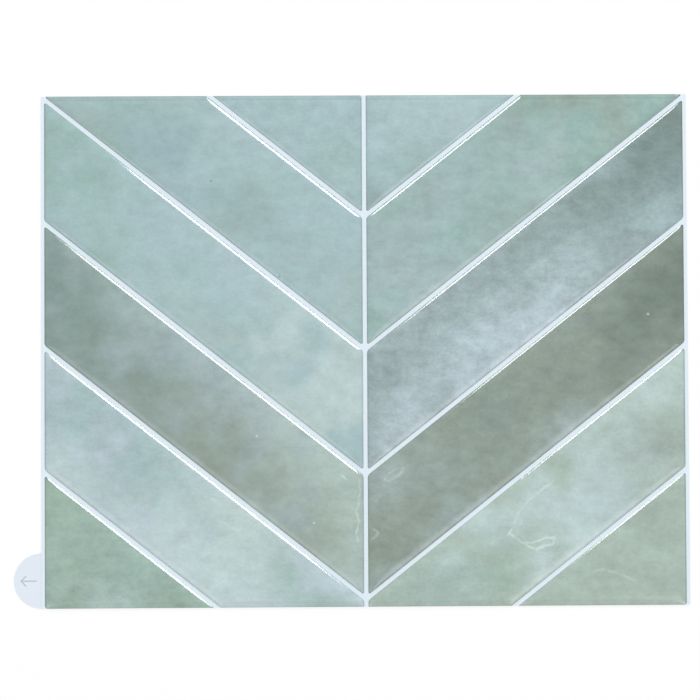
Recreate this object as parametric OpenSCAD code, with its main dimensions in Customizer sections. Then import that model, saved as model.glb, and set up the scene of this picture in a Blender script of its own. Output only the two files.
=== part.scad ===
// Peel-and-stick wall tile: one sheet of a chevron. Clear-coated resin tiles are
// cast on a white film, whose bare strips are the grout joints. The film's adhesive
// back is covered by a release liner that sticks out at one side as a pull tab.
// Origin: middle of the sheet, on the underside of the liner. +Y is the sheet's top.

/* [Sheet] */
// Width of the sheet, without the pull tab
sheet_w = 290; // [270:1:310]
// Thickness of the printed film and its adhesive
film_t = 0.35; // [0.2:0.05:0.6]
// Thickness of the release liner
liner_t = 0.15; // [0.1:0.05:0.3]
// Radius of the sheet's die-cut corners
sheet_corner_r = 0.6; // [0.3:0.1:1.5]

/* [Pull tab] */
// Radius of the half-round tab
tab_r = 12.3; // [8:0.1:18]
// Radius where the tab's upper end runs into the sheet's edge
tab_fillet_r = 1.2; // [0.5:0.1:3]

/* [Chevron] */
// Rows of tiles in the height of one sheet
rows = 4; // [3:1:5]
// Distance from one joint to the next, measured up the sheet
joint_pitch = 55.8; // [52:0.1:60]
// Slope of the joints, in degrees from the level
joint_angle = 38.25; // [36:0.05:41]
// Width of the grout joints
grout_w = 1.9; // [1:0.1:3]
// Width of the bare margin along the left and right edges
margin_w = 1.6; // [0.8:0.1:3]
// Extra height of the row under the top joint
top_row_extra = 3.9; // [0:0.1:6]
// Extra height of the lowest row, for the lap at the bottom edge
bottom_row_extra = 6; // [0:0.1:10]

/* [Resin tiles] */
// Height of the resin over the film
resin_h = 1.5; // [0.8:0.1:2.2]
// Width of the rounded rim, from the tile's outline to its level top
rim_w = 3.2; // [2.4:0.1:4.4]
// How far from a sharp corner its rounding starts
corner_setback = 1.2; // [0.6:0.1:2]
// The same for corners on the sheet's top and bottom edges, where tiles are cut off
cut_corner_setback = 0.3; // [0.2:0.1:2]

/* [Hidden] */
$fn = 96;
sheet_h = rows * joint_pitch + bottom_row_extra;
joints = rows + 1;
film_z = liner_t;
resin_z = liner_t + film_t;
tab_y = tab_r - sheet_h / 2;
// The rim is an arc that leaves the film at this angle and ends level
contact_angle = 2 * atan(resin_h / rim_w);
rim_r = resin_h / (1 - cos(contact_angle));
rim_steps = 6;
corner_steps = 6;
// Each contour of the rim rounds its corners this much more than the one outside it
setback_growth = 1;
// Corners closer together than this are one corner
same_point = 0.02;
arc_steps = 48;

paper_white = [0.88, 0.91, 0.95];
grout_white = [0.89, 0.93, 0.96];
mist = [0.67, 0.77, 0.78];
sea = [0.64, 0.74, 0.72];
sage = [0.62, 0.71, 0.66];
slate = [0.59, 0.67, 0.66];
moss = [0.55, 0.61, 0.56];
glazes_left = [mist, mist, sea, slate, mist, sage];
glazes_right = [mist, sea, slate, moss, sea, sage];

function unit(v) = v / norm(v);

// The part of a convex outline where direction * point is at most limit
function clipped(outline, direction, limit) = [
    for (i = [0:len(outline) - 1])
        let (
            a = outline[i],
            b = outline[(i + 1) % len(outline)],
            over_a = direction * a - limit,
            over_b = direction * b - limit
        )
        each concat(
            over_a <= 0 ? [a] : [],
            over_a * over_b < 0 ? [a + (b - a) * over_a / (over_a - over_b)] : []
        )
];

function without_doubles(outline) = [
    for (i = [0:len(outline) - 1])
        if (norm(outline[i] - outline[(i + 1) % len(outline)]) > same_point) outline[i]
];

// Set-back of a corner: small on the cut edges, except where the side margin starts
function setback_at(corner, inset) =
    abs(corner.y) > sheet_h / 2 - inset - same_point
    && corner.x < sheet_w / 2 - margin_w - inset - same_point
        ? cut_corner_setback : corner_setback;

// A convex outline with each corner rounded by an arc that starts its set-back before it
function rounded(outline, inset) = [
    for (i = [0:len(outline) - 1])
        let (
            n = len(outline),
            corner = outline[i],
            back = outline[(i + n - 1) % n] - corner,
            ahead = outline[(i + 1) % n] - corner,
            setback = setback_at(corner, inset) + setback_growth * inset,
            cut = min(setback, 0.45 * norm(back), 0.45 * norm(ahead)),
            first = corner + cut * unit(back),
            last = corner + cut * unit(ahead),
            weight = norm(unit(back) - unit(ahead)) / 2
        )
        for (k = [0:corner_steps])
            let (t = k / corner_steps, s = 1 - t, pull = 2 * s * t * weight)
            (s * s * first + pull * corner + t * t * last) / (s * s + pull + t * t)
];

// The joints climb away from the middle line, so each is level in this direction
across_joint = [-sin(joint_angle), cos(joint_angle)];

// Level of a joint's upper edge. Joint 1 starts in the sheet's upper corner.
function joint_level(i) =
    across_joint * [sheet_w / 2 - margin_w, sheet_h / 2]
    + ((1 - i) * joint_pitch + (i == 0 ? top_row_extra : 0)) * cos(joint_angle);

// One half of the sheet between the middle joint and the side margin
function half_field(inset) =
    let (
        x = [grout_w / 2 + inset, sheet_w / 2 - margin_w - inset],
        y = [inset - sheet_h / 2, sheet_h / 2 - inset]
    )
    [[x[0], y[0]], [x[1], y[0]], [x[1], y[1]], [x[0], y[1]]];

// Outline of tile i of the right half, counted from the top, moved in by inset
function tile_outline(i, inset) =
    let (
        field = half_field(inset),
        over_joint = i < joints
            ? clipped(field, -across_joint, -joint_level(i) - inset) : field,
        under_joint = i > 0
            ? clipped(over_joint, across_joint, joint_level(i - 1) - grout_w - inset) : over_joint
    )
    without_doubles(under_joint);

// Contour k of a tile's rim, as points in space
function rim_contour(i, k) =
    let (
        slope = contact_angle * (1 - k / rim_steps),
        inset = rim_w - rim_r * sin(slope),
        height = resin_h - rim_r * (1 - cos(slope))
    )
    [for (p = rounded(tile_outline(i, inset), inset)) [p.x, p.y, height]];

// A cast tile: level on top, with a rounded rim where the resin's skin drew it in
module resin_tile(i) {
    points = [for (k = [0:rim_steps]) each rim_contour(i, k)];
    translate([0, 0, resin_z])
        hull()
            polyhedron(points = points, faces = [[for (k = [0:len(points) - 1]) k]]);
}

module sheet_outline() {
    square([sheet_w - 2 * sheet_corner_r, sheet_h], center = true);
    square([sheet_w, sheet_h - 2 * sheet_corner_r], center = true);
    for (x = [-1, 1], y = [-1, 1])
        translate([x * (sheet_w / 2 - sheet_corner_r), y * (sheet_h / 2 - sheet_corner_r)])
            circle(sheet_corner_r);
}

function arc(centre, r, from, to) = [
    for (k = [0:arc_steps])
        let (a = from + (to - from) * k / arc_steps)
        centre + r * [cos(a), sin(a)]
];

// Half-round tab, level with the sheet's bottom edge and rooted under the film
module tab_outline() {
    fillet_y = sqrt(pow(tab_r + tab_fillet_r, 2) - pow(tab_fillet_r, 2));
    turn = asin(tab_fillet_r / (tab_r + tab_fillet_r));
    polygon(concat(
        [[tab_r, -tab_r]],
        arc([0, 0], tab_r, 270, 90 + turn),
        arc([-tab_fillet_r, fillet_y], tab_fillet_r, turn - 90, 0),
        [[tab_r, fillet_y]]
    ));
}

module release_liner() {
    color(paper_white) {
        linear_extrude(liner_t) sheet_outline();
        translate([-sheet_w / 2, tab_y])
            linear_extrude(liner_t) tab_outline();
    }
}

module backing_film() {
    color(grout_white)
        translate([0, 0, film_z])
            linear_extrude(film_t) sheet_outline();
}

module tile_right(i) {
    color(glazes_right[i % len(glazes_right)]) resin_tile(i);
}

module tile_left(i) {
    color(glazes_left[i % len(glazes_left)]) mirror([1, 0, 0]) resin_tile(i);
}

release_liner();
backing_film();
for (i = [0:joints]) {
    tile_left(i);
    tile_right(i);
}
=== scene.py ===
"""Finishes and pieces of a peel-and-stick wall tile sheet, built over its solid model.

Poured resin tiles with drawn-in rims replace the plain ones, over a mottled glaze
print. The film and the release liner keep their solids and get their finishes here.
"""

import math

import bmesh
import bpy
from bpy.props import FloatProperty, FloatVectorProperty, IntProperty, PointerProperty
from mathutils import Euler, Matrix, Vector


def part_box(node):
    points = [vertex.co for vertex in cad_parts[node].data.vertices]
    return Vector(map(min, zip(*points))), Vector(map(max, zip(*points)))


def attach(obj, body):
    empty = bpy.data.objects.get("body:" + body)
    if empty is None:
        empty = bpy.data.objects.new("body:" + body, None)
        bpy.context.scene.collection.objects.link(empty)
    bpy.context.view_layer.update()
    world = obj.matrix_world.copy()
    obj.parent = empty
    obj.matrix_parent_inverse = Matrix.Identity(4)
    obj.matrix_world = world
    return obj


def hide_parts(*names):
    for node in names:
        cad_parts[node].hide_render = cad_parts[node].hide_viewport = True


bl_info = {
    "name": "Peel and Stick Wall Tile",
    "version": (1, 0, 0),
    "blender": (4, 5, 0),
    "location": "View3D > Sidebar > Tile Sheet",
    "description": "Dresses a self-adhesive chevron tile sheet: resin tiles, film, liner and studio",
    "category": "Add Mesh",
}

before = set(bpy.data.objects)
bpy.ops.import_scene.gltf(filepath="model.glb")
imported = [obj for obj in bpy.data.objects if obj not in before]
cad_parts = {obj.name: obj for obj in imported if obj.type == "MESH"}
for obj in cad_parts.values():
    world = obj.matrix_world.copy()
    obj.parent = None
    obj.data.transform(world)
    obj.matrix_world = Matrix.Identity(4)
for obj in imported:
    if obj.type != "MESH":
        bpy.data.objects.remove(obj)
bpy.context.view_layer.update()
MM = 0.001

# Tiles of each half, counted from the top
TILES = [f"tile_{half}_{row}" for half in ("left", "right") for row in range(1, 7)]


def shade(red, green, blue):
    """A colour given as it looks on a screen, from 0 to 255, as scene-linear values."""

    def linear(level):
        level /= 255
        return level / 12.92 if level <= 0.04045 else ((level + 0.055) / 1.055) ** 2.4

    return tuple(linear(level) for level in (red, green, blue))


def under_gloss(red, green, blue):
    """The print's own colour where it looks like this through the resin, whose gloss adds a little white."""
    return tuple((level - 0.057) / 1.04 for level in shade(red, green, blue))


def colour(name, default, about):
    return FloatVectorProperty(name=name, subtype="COLOR", size=3, min=0, max=1, default=default, description=about)


def length(name, default_mm, about):
    return FloatProperty(name=name, unit="LENGTH", min=0, default=default_mm * MM, description=about)


class ResinSizes(bpy.types.PropertyGroup):
    rim_fall: length("Rim fall", 1.75, "How fast the poured rim levels off; smaller is steeper")
    lip: length("Lip", 0.05, "Upright edge where the resin meets the film")
    side_step: length("Side step", 5, "Distance between points along a straight side")
    corner_growth: FloatProperty(
        name="Corner growth", min=0, default=1, description="How much more each inner contour rounds its corners"
    )
    corner_steps: IntProperty(name="Corner steps", min=2, default=8, description="Segments in a rounded corner")


class GlazeColours(bpy.types.PropertyGroup):
    mist: colour("Mist", under_gloss(168, 194, 197), "Pale grey blue, the commonest tone")
    haze: colour("Haze", under_gloss(195, 215, 214), "Palest tone, where the wash is thin")
    cloud: colour("Cloud", under_gloss(184, 202, 209), "Pale blue of the clouded patches")
    tide: colour("Tide", under_gloss(156, 184, 190), "Grey blue")
    jade: colour("Jade", under_gloss(155, 186, 180), "Grey green blue")
    fern: colour("Fern", under_gloss(172, 191, 180), "Pale green")
    sage: colour("Sage", under_gloss(155, 180, 166), "Grey green")
    slate: colour("Slate", under_gloss(124, 145, 142), "Dark grey green blue")
    dusk: colour("Dusk", under_gloss(158, 176, 178), "Blue grey of the smoky patches")
    moss: colour("Moss", under_gloss(145, 160, 150), "Dark grey green")
    olive: colour("Olive", under_gloss(116, 132, 122), "Darkest tone")
    # Pale white of the reflections painted into the print as thin curves, and of a few pale specks
    reflection_white: colour("Vein", under_gloss(208, 224, 219), "Pale hairline marks in the print")


class PaperColours(bpy.types.PropertyGroup):
    grout: colour("Grout", shade(220, 232, 241), "White of the printed film")
    liner: colour("Liner", shade(221, 230, 239), "White of the release liner")
    ink: colour("Ink", shade(176, 182, 192), "Grey of the arrow on the tab")


class StudioSizes(bpy.types.PropertyGroup):
    camera_height: FloatProperty(
        name="Camera height", unit="LENGTH", default=0.8, description="Camera's distance from the sheet"
    )
    lens: FloatProperty(name="Lens", default=91.75, description="Focal length in millimetres on a 36 mm sensor")
    ambient: FloatProperty(name="Ambient", default=0.583, description="Strength of the light from all round")


class TileSheet(bpy.types.PropertyGroup):
    resin: PointerProperty(type=ResinSizes)
    glaze: PointerProperty(type=GlazeColours)
    paper: PointerProperty(type=PaperColours)
    studio: PointerProperty(type=StudioSizes)


# Shader nodes


def add(tree, kind, settings=(), **sockets):
    """A new node. A socket's value is either a number, a colour or the output that feeds it."""
    node = tree.nodes.new(kind)
    for name, value in dict(settings).items():
        setattr(node, name, value)
    for name, value in sockets.items():
        feed(tree, node.inputs[name.replace("_", " ")], value)
    return node


def feed(tree, socket, value):
    if isinstance(value, bpy.types.NodeSocket):
        tree.links.new(value, socket)
    elif value is not None:
        socket.default_value = value


def maths(tree, operation, *values, clamp=False):
    node = add(tree, "ShaderNodeMath", {"operation": operation, "use_clamp": clamp})
    for socket, value in zip(node.inputs, values):
        feed(tree, socket, value)
    return node.outputs[0]


def vector_maths(tree, operation, *values):
    node = add(tree, "ShaderNodeVectorMath", {"operation": operation})
    for socket, value in zip(node.inputs, values):
        feed(tree, socket, value)
    return node.outputs["Value" if operation in ("LENGTH", "DISTANCE", "DOT_PRODUCT") else "Vector"]


def scaled(tree, vector, factor):
    node = add(tree, "ShaderNodeVectorMath", {"operation": "SCALE"}, Vector=vector, Scale=factor)
    return node.outputs["Vector"]


def ramp(tree, value, start, end, low=0.0, high=1.0):
    """A smooth step: low at start, high at end."""
    node = add(
        tree, "ShaderNodeMapRange", {"interpolation_type": "SMOOTHSTEP"},
        Value=value, From_Min=start, From_Max=end, To_Min=low, To_Max=high,
    )
    return node.outputs["Result"]


def mixed(tree, factor, first, second):
    node = add(tree, "ShaderNodeMix", {"data_type": "RGBA"})
    for socket, value in zip((node.inputs[0], node.inputs[6], node.inputs[7]), (factor, first, second)):
        feed(tree, socket, (*value, 1) if isinstance(value, tuple) else value)
    return node.outputs[2]


def noise(tree, vector, size, detail=4.0, roughness=0.5, output="Fac"):
    """Cloudy noise whose patches are about this many millimetres across."""
    node = add(
        tree, "ShaderNodeTexNoise",
        Vector=vector, Scale=1 / size, Detail=detail, Roughness=roughness,
    )
    return node.outputs[output]


def placed(tree, vector, centre, turn, reach):
    """The vector as seen from a centre, turned, and divided by the reach along each axis."""
    node = add(
        tree, "ShaderNodeMapping", {"vector_type": "TEXTURE"},
        Vector=vector, Location=(*centre, 0), Rotation=(0, 0, turn), Scale=(*reach, 1),
    )
    return node.outputs["Vector"]


def plan_position(tree):
    """Place on the sheet in millimetres, without the height."""
    coordinates = add(tree, "ShaderNodeTexCoord").outputs["Object"]
    return vector_maths(tree, "MULTIPLY", coordinates, (1 / MM, 1 / MM, 0))


def new_material(name):
    """A material with its node tree and its surface shader."""
    material = bpy.data.materials.new(name)
    material.use_nodes = True
    return material, material.node_tree, material.node_tree.nodes["Principled BSDF"]


def stroke_distance(tree, position, start, end):
    """Distance in millimetres from a straight stroke."""
    run = Vector(end) - Vector(start)
    offset = vector_maths(tree, "SUBTRACT", position, (*start, 0))
    along = vector_maths(tree, "DOT_PRODUCT", offset, (*(run / run.length_squared), 0))
    share = maths(tree, "MAXIMUM", 0.0, along, clamp=True)
    nearest = scaled(tree, (*run, 0), share)
    return vector_maths(tree, "DISTANCE", offset, nearest)


def strokes_distance(tree, position, points):
    """Distance from the nearest stroke of a bent line."""
    nearest = None
    for start, end in zip(points, points[1:]):
        distance = stroke_distance(tree, position, start, end)
        nearest = distance if nearest is None else maths(tree, "MINIMUM", nearest, distance)
    return nearest


# Outlines of the tiles


class Side:
    """A straight side of a tile's outline, run through with the tile on its left."""

    def __init__(self, start, end):
        self.start, self.end = start, end
        self.along = (end - start).normalized()
        self.inward = Vector((-self.along.y, self.along.x))

    def meet(self, other, inset):
        """Where this side and another cross once both are moved in."""
        first = self.start + inset * self.inward
        second = other.start + inset * other.inward
        gap = second - first
        crossing = self.along.cross(other.along)
        return first + self.along * (gap.cross(other.along) / crossing)


def cad_outline(node):
    """The outline of a tile where it meets the film, anticlockwise, in millimetres."""
    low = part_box(node)[0][2]
    places = {
        (round(v.co.x / MM, 4), round(v.co.y / MM, 4))
        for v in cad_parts[node].data.vertices
        if v.co.z < low + 0.001 * MM
    }
    points = [Vector(place) for place in places]
    middle = sum(points, Vector((0, 0))) / len(points)
    return sorted(points, key=lambda point: math.atan2(*(point - middle).yx))


def straight_sides(outline, shortest=1.0):
    """The sides of an outline that aren't part of a rounded corner."""
    pairs = zip(outline, outline[1:] + outline[:1])
    return [Side(start, end) for start, end in pairs if (end - start).length > shortest]


def corners_at(sides, inset):
    """(corner, side before, side after) of the outline moved in, less the sides that close up."""
    live = list(sides)
    while True:
        corners = [live[i - 1].meet(live[i], inset) for i in range(len(live))]
        kept = [
            side
            for side, start, end in zip(live, corners, corners[1:] + corners[:1])
            if (end - start).dot(side.along) > 0.05
        ]
        if len(kept) == len(live):
            return [(corner, live[i - 1], live[i]) for i, corner in enumerate(corners)]
        live = kept


def contour(sides, inset, resin):
    """Points of the outline moved in, with its corners rounded the more the further in they lie."""
    corners = corners_at(sides, inset)
    points = []
    for i, (corner, before, after) in enumerate(corners):
        following, _, after_that = corners[(i + 1) % len(corners)]
        previous = corners[i - 1][0]
        outer = before.meet(after, 0)
        setback = (outer - before.end).length + resin.corner_growth * inset
        setback = min(setback, 0.45 * (corner - previous).length, 0.45 * (following - corner).length)
        points += corner_arc(corner, before, after, setback, resin.corner_steps)
        next_outer = after.meet(after_that, 0)
        next_setback = (next_outer - after.end).length + resin.corner_growth * inset
        further = corners[(i + 2) % len(corners)][0]
        next_setback = min(
            next_setback, 0.45 * (following - corner).length, 0.45 * (further - following).length
        )
        start = corner + setback * after.along
        end = following - next_setback * after.along
        count = max(1, round((after.end - after.start).length * MM / resin.side_step))
        points += [start.lerp(end, k / count) for k in range(1, count)]
    return points


def corner_arc(corner, before, after, setback, steps):
    """An arc from one side to the next that starts and ends a set-back from their corner."""
    first, last = corner - setback * before.along, corner + setback * after.along
    weight = (before.along + after.along).length / 2
    arc = []
    for k in range(steps + 1):
        t = k / steps
        parts = ((1 - t) ** 2, 2 * t * (1 - t) * weight, t**2)
        arc.append((parts[0] * first + parts[1] * corner + parts[2] * last) / sum(parts))
    return arc


# Resin tiles

# How far in from the outline each contour of the rim lies, in millimetres
RIM_CONTOURS = (0, 0.08, 0.18, 0.3, 0.45, 0.62, 0.82, 1.05, 1.35, 1.7, 2.15, 2.7, 3.4, 4.3, 5.5, 7.2, 9.5)


def dome_height(inset, low, high, resin):
    """Height of the resin at a distance in from its outline: steep at the film, then levelling off."""
    fall = resin.rim_fall / MM
    share = (1 - math.exp(-inset / fall)) / (1 - math.exp(-RIM_CONTOURS[-1] / fall))
    return low + resin.lip + (high - low - resin.lip) * share


def pour_tile(node, resin):
    """A closed resin tile: a loop of points for each contour, bridged, with a level top and a flat back."""
    sides = straight_sides(cad_outline(node))
    low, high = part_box(node)[0][2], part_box(node)[1][2]
    bm = bmesh.new()
    insets = bm.verts.layers.float.new("inset")
    levels = [(0, low)] + [(inset, dome_height(inset, low, high, resin)) for inset in RIM_CONTOURS]
    loops = []
    for inset, height in levels:
        points = contour(sides, inset, resin)
        ring = [bm.verts.new((point.x * MM, point.y * MM, height)) for point in points]
        for vertex in ring:
            vertex[insets] = inset
        loops.append([bm.edges.new((ring[i - 1], ring[i])) for i in range(len(ring))])
    for outer, inner in zip(loops, loops[1:]):
        bmesh.ops.bridge_loops(bm, edges=outer + inner)
    for rim in (loops[0], loops[-1]):
        bmesh.ops.contextual_create(bm, geom=rim)
    bmesh.ops.recalc_face_normals(bm, faces=bm.faces)
    for face in bm.faces:
        face.smooth = True
    for edge in loops[0] + loops[1]:
        edge.smooth = False
    mesh = bpy.data.meshes.new("poured_" + node)
    bm.to_mesh(mesh)
    bm.free()
    return mesh


# Each tile's print: its ground tone, how strongly it is mottled, and the washes brushed
# over it one after the other. A wash is a tone, the place of its middle on the sheet, its
# reach along and across the tile, all in millimetres, and its strength.
PRINTS = {
    "tile_left_1": (
        "mist", 1.2,
        [
            ("tide", -50, 123, 21, 16, 0.87),
            ("jade", -15, 85, 14, 13, 0.43),
            ("mist", -30, 101, 17, 19, 0.9),
        ],
    ),
    "tile_left_2": (
        "mist", 1.0,
        [
            ("cloud", -54, 104, 14, 51, 0.23),
            ("sage", -57, 63, 14, 25, 0.55),
            ("dusk", -71, 77, 90, 12, 0.43),
            ("fern", -2, 19, 18, 20, 0.49),
            ("mist", -85, 97, 18, 13, 0.99),
            ("sage", -125, 95, 38, 60, 0.76),
            ("tide", -88, 90, 59, 17, 0.81),
            ("tide", -84, 84, 30, 16, 0.8),
            ("mist", -35, 46, 19, 19, 0.43),
        ],
    ),
    "tile_left_3": (
        "mist", 1.0,
        [
            ("moss", -2, -3, 18, 12, 0.53),
            ("jade", -137, 87, 37, 24, 0.96),
            ("mist", -72, 43, 56, 25, 0.41),
            ("cloud", -57, 50, 48, 17, 0.48),
            ("mist", -44, 14, 84, 12, 0.32),
            ("fern", -37, -38, 90, 32, 0.59),
            ("jade", -127, 36, 14, 27, 1.0),
            ("haze", 0, -16, 57, 47, 0.69),
            ("haze", -18, 2, 24, 16, 0.6),
            ("haze", -5, -33, 16, 22, 0.7),
            ("haze", -16, -14, 41, 21, 0.48),
            ("jade", -139, 85, 24, 20, 0.91),
        ],
    ),
    "tile_left_4": (
        "dusk", 1.2,
        [
            ("dusk", -87, 18, 26, 30, 0.81),
            ("haze", -2, -76, 90, 60, 0.79),
            ("sage", -117, 25, 65, 60, 0.61),
            ("slate", -146, 24, 82, 49, 0.62),
            ("moss", -55, -54, 78, 22, 0.92),
            ("cloud", -85, 5, 40, 12, 0.47),
            ("fern", 4, -57, 44, 58, 0.84),
            ("moss", -32, -84, 17, 23, 0.51),
            ("moss", -61, -49, 16, 9, 0.6),
            ("slate", -138, 37, 18, 16, 0.5),
            ("olive", -112, -9, 32, 19, 0.26),
            ("moss", -64, -46, 18, 13, 0.9),
        ],
    ),
    "tile_left_5": (
        "cloud", 1.2,
        [
            ("haze", -33, -123, 43, 40, 0.79),
            ("jade", -59, -83, 90, 14, 1.0),
            ("slate", -112, -43, 38, 19, 0.52),
            ("haze", -131, -49, 20, 17, 0.74),
            ("fern", -70, -76, 14, 12, 0.6),
            ("haze", -67, -73, 51, 57, 0.92),
            ("mist", -113, -42, 47, 18, 0.86),
            ("jade", -34, -104, 16, 9, 0.45),
            ("haze", -66, -87, 30, 21, 0.72),
            ("mist", -112, -35, 39, 17, 0.82),
        ],
    ),
    "tile_left_6": (
        "sage", 1.6,
        [
            ("fern", -109, -117, 15, 12, 1.0),
            ("mist", -118, -123, 83, 60, 0.26),
            ("haze", -120, -113, 20, 11, 0.28),
            ("jade", -99, -111, 31, 15, 0.38),
        ],
    ),
    "tile_right_1": (
        "mist", 1.2,
        [
            ("olive", 11, 74, 31, 13, 0.3),
            ("haze", 40, 119, 52, 60, 0.23),
            ("slate", 8, 73, 16, 10, 0.23),
        ],
    ),
    "tile_right_2": (
        "jade", 1.3,
        [
            ("moss", 87, 123, 36, 15, 0.99),
            ("fern", 101, 80, 66, 25, 0.31),
            ("cloud", 62, 24, 90, 60, 0.94),
            ("sage", 95, 82, 78, 12, 0.38),
            ("moss", 101, 123, 23, 31, 0.68),
            ("jade", 50, 61, 32, 22, 0.98),
            ("dusk", 27, 55, 67, 39, 0.45),
            ("mist", 83, 82, 13, 21, 0.28),
            ("moss", 111, 113, 18, 13, 0.23),
        ],
    ),
    "tile_right_3": (
        "dusk", 2.1,
        [
            ("slate", 115, 52, 14, 14, 0.78),
            ("olive", 143, 84, 15, 15, 0.95),
            ("tide", 134, 93, 54, 44, 0.69),
            ("jade", 121, 20, 78, 55, 0.49),
            ("olive", 149, 108, 90, 19, 0.82),
            ("mist", 41, 7, 14, 12, 0.61),
            ("cloud", 69, -5, 90, 28, 0.86),
            ("cloud", 52, -8, 84, 20, 0.58),
            ("slate", 131, 94, 24, 20, 0.4),
            ("cloud", 71, 13, 41, 19, 0.83),
            ("cloud", 29, -31, 25, 25, 0.41),
        ],
    ),
    "tile_right_4": (
        "moss", 1.7,
        [
            ("olive", 151, 38, 77, 23, 0.89),
            ("slate", 57, -26, 14, 14, 0.42),
            ("dusk", 21, -102, 84, 12, 1.0),
            ("dusk", 89, 37, 31, 30, 0.51),
            ("cloud", 98, -49, 24, 22, 0.87),
            ("cloud", 13, -55, 29, 15, 0.33),
            ("moss", 38, -32, 28, 13, 0.86),
            ("dusk", 53, -71, 17, 25, 0.55),
            ("olive", 138, 22, 20, 24, 0.5),
            ("olive", 124, 6, 38, 23, 0.25),
            ("mist", 47, -61, 17, 13, 0.2),
        ],
    ),
    "tile_right_5": (
        "fern", 1.3,
        [
            ("moss", 126, -40, 16, 14, 0.73),
            ("haze", 40, -73, 19, 18, 0.79),
            ("haze", 101, -92, 30, 31, 1.0),
            ("haze", 128, -18, 30, 17, 0.68),
            ("cloud", 106, -67, 36, 43, 0.51),
            ("tide", 38, -103, 48, 22, 0.29),
            ("haze", 70, -67, 36, 12, 0.65),
            ("haze", 42, -87, 14, 10, 0.6),
            ("haze", 79, -99, 14, 9, 0.6),
            ("sage", 61, -101, 14, 10, 0.6),
            ("haze", 92, -60, 44, 25, 0.42),
            ("haze", 85, -93, 15, 9, 0.95),
        ],
    ),
    "tile_right_6": (
        "fern", 1.3,
        [
            ("moss", 116, -61, 14, 39, 0.43),
            ("fern", 134, -110, 17, 15, 0.83),
            ("fern", 121, -96, 15, 24, 0.91),
            ("moss", 133, -87, 10, 11, 0.26),
        ],
    ),
}

# Painted reflections, pale curves painted into the print where the glossy resin mirrors its
# surroundings: how clearly each shows, and its bent line in millimetres on the sheet
PAINTED_REFLECTIONS = {
    "tile_left_4": [
        (0.9, [(-2.4, -58.0), (-2.9, -66.0), (-4.0, -72.8), (-3.3, -76.8), (-4.1, -81.3), (-3.6, -85.0)]),
        (1.8, [(-11.6, -55.5), (-10.0, -56.2), (-8.9, -57.5)]),
    ],
    "tile_left_5": [
        (1.0, [(-71.1, -65.3), (-66.7, -66.6)]),
        (0.9, [(-65.7, -75.8), (-62.5, -77.2), (-59.0, -79.3), (-56.0, -80.0)]),
    ],
    "tile_right_4": [
        (0.55, [(8.3, -58.0), (9.2, -55.7), (14.2, -53.0), (16.8, -52.6), (15.9, -55.3), (10.1, -58.6), (8.3, -58.0)]),
        (0.35, [(3.0, -66.5), (4.7, -67.4)]),
        (0.5, [(3.4, -80.4), (5.6, -81.7), (3.2, -84.0)]),
    ],
    "tile_right_5": [
        (1.3, [(83.2, -59.5), (76.0, -64.2), (72.0, -67.8), (66.6, -75.9), (64.3, -82.2)]),
        (1.2, [(64.3, -82.2), (69.7, -86.6), (76.4, -89.3)]),
        (2.0, [(76.4, -89.3), (83.1, -87.1), (84.3, -84.2), (80.5, -84.0), (75.5, -85.9), (70.5, -86.2)]),
        (0.5, [(64.3, -82.8), (59.4, -84.6), (55.8, -87.1)]),
    ],
    "tile_right_6": [(0.6, [(100.8, -99.1), (106.3, -98.3), (110.3, -99.3), (117.7, -102.8), (120.5, -103.8)])],
}


# Specks under the resin: tone and place in millimetres on the sheet
SPECKS = {
    "tile_left_2": [("slate", -68.6, 76.2), ("slate", -38.1, 33.2)],
    "tile_left_4": [("reflection_white", -48.5, -38.1), ("reflection_white", -23.2, -77.0)],
    "tile_right_4": [("reflection_white", 126.9, 15.6)],
}


def glaze_print(tree, node, glaze, position):
    """Colour of the mottled print under a tile's resin."""
    ground, strength, washes = PRINTS[node]
    slope = joint_slope() if node.startswith("tile_right") else -joint_slope()
    drift = vector_maths(tree, "ADD", position, (0, 0, 37.0 * TILES.index(node)))
    swirl = scaled(tree, vector_maths(tree, "SUBTRACT", noise(tree, drift, 34, 2, 0.5, "Color"), (0.5,) * 3), 6)
    flowing = vector_maths(tree, "ADD", position, swirl)
    feather = noise(tree, vector_maths(tree, "MULTIPLY", drift, (1, 1.5, 1)), 15, 6, 0.6)
    tone = tuple(getattr(glaze, ground))
    for name, x, y, reach, width, cover in washes:
        away = vector_maths(tree, "LENGTH", placed(tree, flowing, (x, y), slope, (reach, width)))
        soaked = maths(tree, "MULTIPLY_ADD", feather, -0.5, maths(tree, "ADD", away, 0.25))
        tone = mixed(tree, ramp(tree, soaked, 1.5, 0.0, 0, cover), tone, tuple(getattr(glaze, name)))
    tone = mottled(tree, tone, drift, strength)
    # Painted reflections: thin pale curves in the print colour
    tone = with_painted_reflections(tree, tone, PAINTED_REFLECTIONS.get(node, ()), position, tuple(glaze.reflection_white))
    for name, x, y in SPECKS.get(node, ()):
        away = vector_maths(tree, "DISTANCE", position, (x, y, 0))
        tone = mixed(tree, ramp(tree, away, 0.75, 0.25, 0, 0.7), tone, tuple(getattr(glaze, name)))
    return tone


def mottled(tree, tone, drift, strength):
    """The tone made lighter and darker in clouds, with a fine grain like brushed cloth."""
    clouds = noise(tree, vector_maths(tree, "MULTIPLY", drift, (1, 1.6, 1)), 26, 3, 0.5)
    grain = noise(tree, vector_maths(tree, "MULTIPLY", drift, (1, 1.35, 3)), 8, 6, 0.74)
    threads = noise(tree, vector_maths(tree, "MULTIPLY", drift, (1, 1.35, 7)), 1.3, 2, 0.6)
    light = 1.0
    for pattern, depth in ((clouds, 0.18), (grain, 0.56), (threads, 0.13)):
        depth *= strength
        light = maths(tree, "MULTIPLY_ADD", pattern, depth, maths(tree, "ADD", light, -depth / 2))
    hue = maths(tree, "MULTIPLY_ADD", clouds, 0.04, 0.5 - 0.02)
    node = add(tree, "ShaderNodeHueSaturation", Hue=hue, Value=light, Color=tone)
    return node.outputs["Color"]


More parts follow.
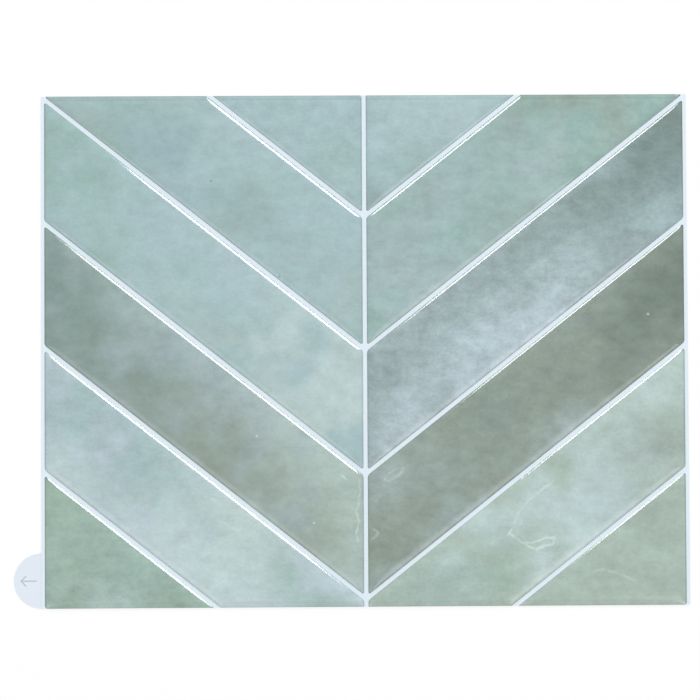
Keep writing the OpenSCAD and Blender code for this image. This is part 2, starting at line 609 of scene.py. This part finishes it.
def with_painted_reflections(tree, tone, reflections, position, reflection_tone):
    """The tone with painted reflections: thin pale curves that waver and fade in places."""
    waver = vector_maths(tree, "SUBTRACT", noise(tree, position, 5, 2, 0.6, "Color"), (0.5,) * 3)
    wavering = vector_maths(tree, "ADD", position, scaled(tree, waver, 2.4))
    fading = ramp(tree, noise(tree, position, 3, 3, 0.6), 0.35, 0.6, 0.25, 0.75)
    for clearness, points in reflections:
        line = ramp(tree, strokes_distance(tree, wavering, points), 1.0, 0.0, 0.0, clearness)
        tone = mixed(tree, maths(tree, "MULTIPLY", line, fading), tone, reflection_tone)
    return tone


def joint_slope():
    """Angle of the joints on the right half, from the longest side of a whole tile."""
    sides = straight_sides(cad_outline("tile_right_3"))
    longest = max(sides, key=lambda side: (side.end - side.start).length)
    return math.atan(longest.along.y / longest.along.x)


# Middle of the stretch where a rim set unevenly, in millimetres on the sheet
RIM_FLAW = (77, -51)


# The sheet's cut edges, with painted shade and painted sheen on the resin rims there: which one
# (1 is the top), then pairs of a width or place in millimetres and a change of brightness: the
# cut itself, the strip beside it, the wider shade, the painted crease shade and the painted sheen
CUT_EDGE_SHADE_AND_SHEEN = (
    (1, (0.5, -0.08), (2.6, -0.04), (7, -0.03), (1.75, -0.09), (3.0, 0.03)),
    (-1, (0.5, -0.04), (2.6, 0.03), (7, 0.02), (2.2, -0.05), (3.4, 0.02)),
)


def cut_edge_painted_shade_and_sheen(tree, position):
    """Painted shade and painted sheen in faint lines along the sheet's top and bottom edges, on the rims of the cut
    tiles.
    """
    half_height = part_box("backing_film")[1][1] / MM
    height = add(tree, "ShaderNodeSeparateXYZ", Vector=position).outputs["Y"]
    light = 1.0
    for side, cut, strip, shade_off, crease_shade, painted_sheen in CUT_EDGE_SHADE_AND_SHEEN:
        depth = maths(tree, "MULTIPLY_ADD", height, -side, half_height)
        for width, change in (cut, strip, shade_off):
            light = maths(tree, "MULTIPLY_ADD", ramp(tree, depth, width, 0.3 * width), change, light)
        for (place, change), reach in ((crease_shade, 0.4), (painted_sheen, 1.1)):
            away = maths(tree, "ABSOLUTE", maths(tree, "SUBTRACT", depth, place))
            light = maths(tree, "MULTIPLY_ADD", ramp(tree, away, reach, 0.2 * reach), change, light)
    return light


def upright_edge_painted_shade(tree, node, position):
    """Painted shade: dark hairlines along a tile's upright sides, beside the middle joint and the margin."""
    reach = [abs(point.x) for point in cad_outline(node)]
    x = maths(tree, "ABSOLUTE", add(tree, "ShaderNodeSeparateXYZ", Vector=position).outputs["X"])
    from_middle = ramp(tree, maths(tree, "SUBTRACT", x, min(reach)), 0.1, 0.8, 0.86, 1.0)
    from_margin = ramp(tree, maths(tree, "SUBTRACT", max(reach), x), 0.1, 1.0, 0.7, 1.0)
    return maths(tree, "MULTIPLY", from_middle, from_margin)


def resin_material(node, glaze):
    """Clear glossy resin over the printed glaze, with painted shade in a dark hairline where its edge meets the film.
    """
    material, tree, shader = new_material("resin_" + node)
    position = plan_position(tree)
    tone = glaze_print(tree, node, glaze, position)
    inset = add(tree, "ShaderNodeAttribute", {"attribute_name": "inset"}).outputs["Fac"]
    # Painted shade: a dark hairline along the foot of the resin rim, where it meets the film
    hairline = ramp(tree, inset, 0.05, 0.4, 0.8, 1.0)
    # Painted shade and painted sheen along the sheet's cut top and bottom edges
    light = maths(tree, "MULTIPLY", hairline, cut_edge_painted_shade_and_sheen(tree, position))
    # Painted shade along the upright sides, beside the middle joint and the margin
    light = maths(tree, "MULTIPLY", light, upright_edge_painted_shade(tree, node, position))
    tone_with_painted_light = add(tree, "ShaderNodeHueSaturation", Value=light, Color=tone).outputs["Color"]
    feed(tree, shader.inputs["Base Color"], tone_with_painted_light)
    shader.inputs["Roughness"].default_value = 0.09
    shader.inputs["IOR"].default_value = 1.5
    shader.inputs["Coat Weight"].default_value = 1.0
    shader.inputs["Coat Roughness"].default_value = 0.06
    waves = noise(tree, position, 16, 1, 0.4)
    ripples = noise(tree, vector_maths(tree, "ADD", position, (0, 90, 0)), 3, 1, 0.4)
    flaw = vector_maths(tree, "LENGTH", placed(tree, position, RIM_FLAW, 0, (18, 18)))
    rim = maths(tree, "MULTIPLY", ramp(tree, inset, 3.5, 0.5), ramp(tree, flaw, 1, 0.4, 0.01, 0.12))
    height = maths(tree, "MULTIPLY_ADD", ripples, rim, maths(tree, "MULTIPLY", waves, 0.05))
    bump = add(tree, "ShaderNodeBump", Strength=1.0, Distance=MM, Height=height)
    feed(tree, shader.inputs["Normal"], bump.outputs["Normal"])
    return material


class TILESHEET_OT_tiles(bpy.types.Operator):
    """Pour the resin tiles and print the glaze under each"""

    bl_idname = "tilesheet.tiles"
    bl_label = "Resin Tiles"
    bl_options = {"REGISTER", "UNDO"}

    def execute(self, context):
        sheet = context.scene.tile_sheet
        for node in TILES:
            tile = bpy.data.objects.new("resin_" + node, pour_tile(node, sheet.resin))
            context.scene.collection.objects.link(tile)
            tile.data.materials.append(resin_material(node, sheet.glaze))
            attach(tile, "root")
            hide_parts(node)
        return {"FINISHED"}


# Film and liner


def dress(node, material):
    """Gives a solid of the frame its finish."""
    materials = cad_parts[node].data.materials
    materials.clear()
    materials.append(material)


def film_material(paper):
    """Satin white film with the faint tooth of its print."""
    material, tree, shader = new_material("printed_film")
    position = plan_position(tree)
    specks = noise(tree, position, 1.2, 4, 0.6)
    cast = noise(tree, position, 30, 3, 0.5)
    light = maths(tree, "MULTIPLY_ADD", specks, 0.06, 0.97)
    light = maths(tree, "MULTIPLY_ADD", cast, 0.05, maths(tree, "SUBTRACT", light, 0.025))
    tone = add(tree, "ShaderNodeHueSaturation", Value=light, Color=(*paper.grout, 1)).outputs["Color"]
    feed(tree, shader.inputs["Base Color"], tone)
    shader.inputs["Roughness"].default_value = 0.42
    bump = add(tree, "ShaderNodeBump", Strength=0.3, Distance=0.02 * MM, Height=specks)
    feed(tree, shader.inputs["Normal"], bump.outputs["Normal"])
    return material


class TILESHEET_OT_film(bpy.types.Operator):
    """Finish the white film whose bare strips are the grout joints"""

    bl_idname = "tilesheet.film"
    bl_label = "Backing Film"
    bl_options = {"REGISTER", "UNDO"}

    def execute(self, context):
        dress("backing_film", film_material(context.scene.tile_sheet.paper))
        return {"FINISHED"}


def arrow_distance(tree, position, tip, size):
    """Distance from an arrow that points away from the sheet."""
    tail = (tip[0] + size, tip[1])
    barb = 0.32 * size
    upper, lower = (tip[0] + barb, tip[1] + barb), (tip[0] + barb, tip[1] - barb)
    shaft = strokes_distance(tree, position, [tip, tail])
    head = strokes_distance(tree, position, [upper, tip, lower])
    return maths(tree, "MINIMUM", shaft, head)


def liner_material(paper):
    """Silicone paper: white with fine fibres, a soft sheen and a printed arrow on its tab."""
    material, tree, shader = new_material("release_paper")
    position = plan_position(tree)
    low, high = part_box("release_liner")
    sheet_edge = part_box("backing_film")[0][0] / MM
    tab_radius = sheet_edge - low[0] / MM
    tip = (sheet_edge - 0.74 * tab_radius, low[1] / MM + tab_radius)
    fibres = noise(tree, vector_maths(tree, "MULTIPLY", position, (1, 2.5, 1)), 1.6, 6, 0.7)
    light = maths(tree, "MULTIPLY_ADD", fibres, 0.07, 0.965)
    tone = add(tree, "ShaderNodeHueSaturation", Value=light, Color=(*paper.liner, 1)).outputs["Color"]
    ink = ramp(tree, arrow_distance(tree, position, tip, 0.55 * tab_radius), 0.34, 0.2, 0, 0.9)
    feed(tree, shader.inputs["Base Color"], mixed(tree, ink, tone, tuple(paper.ink)))
    shader.inputs["Roughness"].default_value = 0.38
    bump = add(tree, "ShaderNodeBump", Strength=0.4, Distance=0.02 * MM, Height=fibres)
    feed(tree, shader.inputs["Normal"], bump.outputs["Normal"])
    return material


class TILESHEET_OT_liner(bpy.types.Operator):
    """Finish the release liner and print the arrow on its pull tab"""

    bl_idname = "tilesheet.liner"
    bl_label = "Release Liner"
    bl_options = {"REGISTER", "UNDO"}

    def execute(self, context):
        dress("release_liner", liner_material(context.scene.tile_sheet.paper))
        return {"FINISHED"}


# Studio


def floor_material():
    """White floor that still takes a shadow."""
    material, tree, shader = new_material("studio_floor")
    shader.inputs["Base Color"].default_value = (0.95, 0.95, 0.95, 1)
    shader.inputs["Roughness"].default_value = 0.9
    shader.inputs["Specular IOR Level"].default_value = 0
    seen = add(tree, "ShaderNodeLightPath").outputs["Is Camera Ray"]
    glow = add(tree, "ShaderNodeEmission", Color=(1, 1, 1, 1), Strength=1.0)
    blend = add(tree, "ShaderNodeMixShader")
    feed(tree, blend.inputs[0], maths(tree, "MULTIPLY", seen, 0.7))
    feed(tree, blend.inputs[1], shader.outputs[0])
    feed(tree, blend.inputs[2], glow.outputs[0])
    feed(tree, tree.nodes["Material Output"].inputs["Surface"], blend.outputs[0])
    return material


def lay_floor(context):
    bm = bmesh.new()
    bmesh.ops.create_grid(bm, x_segments=1, y_segments=1, size=4)
    bmesh.ops.translate(bm, verts=bm.verts, vec=(0, 0, -0.02 * MM))
    mesh = bpy.data.meshes.new("floor")
    bm.to_mesh(mesh)
    bm.free()
    floor = bpy.data.objects.new("floor", mesh)
    context.scene.collection.objects.link(floor)
    mesh.materials.append(floor_material())


def light_world(context, ambient):
    """Even white surroundings: full white where they are seen, dimmer where they only light."""
    world = bpy.data.worlds.new("studio")
    context.scene.world = world
    world.use_nodes = True
    tree = world.node_tree
    path = add(tree, "ShaderNodeLightPath").outputs
    seen = maths(tree, "ADD", path["Is Camera Ray"], path["Is Glossy Ray"])
    seen = maths(tree, "ADD", seen, path["Is Transmission Ray"], clamp=True)
    strength = maths(tree, "MULTIPLY_ADD", seen, 1 - ambient, ambient)
    feed(tree, tree.nodes["Background"].inputs["Strength"], strength)
    tree.nodes["Background"].inputs["Color"].default_value = (1, 1, 1, 1)


def hang_lamp(context, name, azimuths, zeniths, radiance, mirrored=True, distance=3.0):
    """A far soft box that faces the sheet and spans these angles, in degrees.

    Azimuth is measured from +Y towards +X, and the zenith angle from straight up.
    """
    azimuth, zenith = (math.radians(sum(span) / 2) for span in (azimuths, zeniths))
    wide, tall = (math.radians(span[1] - span[0]) for span in (azimuths, zeniths))
    data = bpy.data.lights.new(name, "AREA")
    data.shape = "RECTANGLE"
    data.size = 2 * distance * math.sin(zenith) * math.tan(wide / 2)
    data.size_y = 2 * distance * math.tan(tall / 2)
    data.energy = radiance * math.pi * data.size * data.size_y
    lamp = bpy.data.objects.new(name, data)
    turn = Euler((-zenith, 0, -azimuth), "XYZ").to_matrix()
    lamp.matrix_world = Matrix.Translation(turn @ Vector((0, 0, distance))) @ turn.to_4x4()
    lamp.visible_camera = False
    lamp.visible_glossy = mirrored
    context.scene.collection.objects.link(lamp)


def place_camera(context, studio):
    """Camera over the sheet, with the small tilt, roll and offset of the photograph."""
    camera = bpy.data.objects.new("camera", bpy.data.cameras.new("camera"))
    camera.data.lens = studio.lens
    camera.data.sensor_width = 36
    camera.data.clip_start = 0.01
    tilt, lean, roll = (math.radians(angle) for angle in (-1.224, 0.485, 0.300))
    turn = (Matrix.Rotation(roll, 3, "Z") @ Matrix.Rotation(lean, 3, "Y") @ Matrix.Rotation(tilt, 3, "X")).transposed()
    offset = Vector((6.70 * MM, -0.15 * MM, -studio.camera_height))
    camera.matrix_world = Matrix.Translation(-(turn @ offset)) @ turn.to_4x4()
    context.scene.collection.objects.link(camera)
    context.scene.camera = camera


# Name, azimuths, zenith angles and radiance. The tiles' rims mirror the windows as thin
# highlights along their upper edges, and the pale walls as soft bands along their lower ones.
MIRRORED_LAMPS = (
    ("window_right", (24.5, 43), (48, 71), 10),
    ("window_left", (-33.6, -17), (54, 69), 10),
    ("pale_wall_right", (126, 158), (40, 63), 1.4),
    ("pale_wall_right_middle", (126, 156), (30, 40), 1.0),
    ("pale_wall_right_top", (126, 152), (22, 30), 0.5),
    ("pale_wall_left", (-160, -124), (40, 63), 1.0),
    ("pale_wall_left_top", (-160, -124), (28, 40), 0.5),
)


class TILESHEET_OT_studio(bpy.types.Operator):
    """Set up the floor, the soft lights and the camera"""

    bl_idname = "tilesheet.studio"
    bl_label = "Studio"
    bl_options = {"REGISTER", "UNDO"}

    def execute(self, context):
        studio = context.scene.tile_sheet.studio
        lay_floor(context)
        light_world(context, studio.ambient)
        for name, azimuths, zeniths, radiance in MIRRORED_LAMPS:
            hang_lamp(context, name, azimuths, zeniths, radiance)
        hang_lamp(context, "fill", (-180, -96), (26, 88), 0.4, mirrored=False)
        place_camera(context, studio)
        context.scene.view_settings.view_transform = "Standard"
        return {"FINISHED"}


class TILESHEET_PT_panel(bpy.types.Panel):
    bl_label = "Tile Sheet"
    bl_idname = "TILESHEET_PT_panel"
    bl_space_type = "VIEW_3D"
    bl_region_type = "UI"
    bl_category = "Tile Sheet"

    def draw(self, context):
        sheet = context.scene.tile_sheet
        for operator in OPERATORS:
            self.layout.operator(operator.bl_idname)
        for group in (sheet.resin, sheet.glaze, sheet.paper, sheet.studio):
            box = self.layout.box()
            for name in group.__annotations__:
                box.prop(group, name)


OPERATORS = (TILESHEET_OT_liner, TILESHEET_OT_film, TILESHEET_OT_tiles, TILESHEET_OT_studio)
CLASSES = (ResinSizes, GlazeColours, PaperColours, StudioSizes, TileSheet, *OPERATORS, TILESHEET_PT_panel)


def register():
    for cls in CLASSES:
        bpy.utils.register_class(cls)
    bpy.types.Scene.tile_sheet = PointerProperty(type=TileSheet)


def unregister():
    del bpy.types.Scene.tile_sheet
    for cls in reversed(CLASSES):
        bpy.utils.unregister_class(cls)


def main():
    register()
    bpy.ops.tilesheet.liner()
    bpy.ops.tilesheet.film()
    bpy.ops.tilesheet.tiles()
    bpy.ops.tilesheet.studio()


if __name__ == "__main__":
    main()
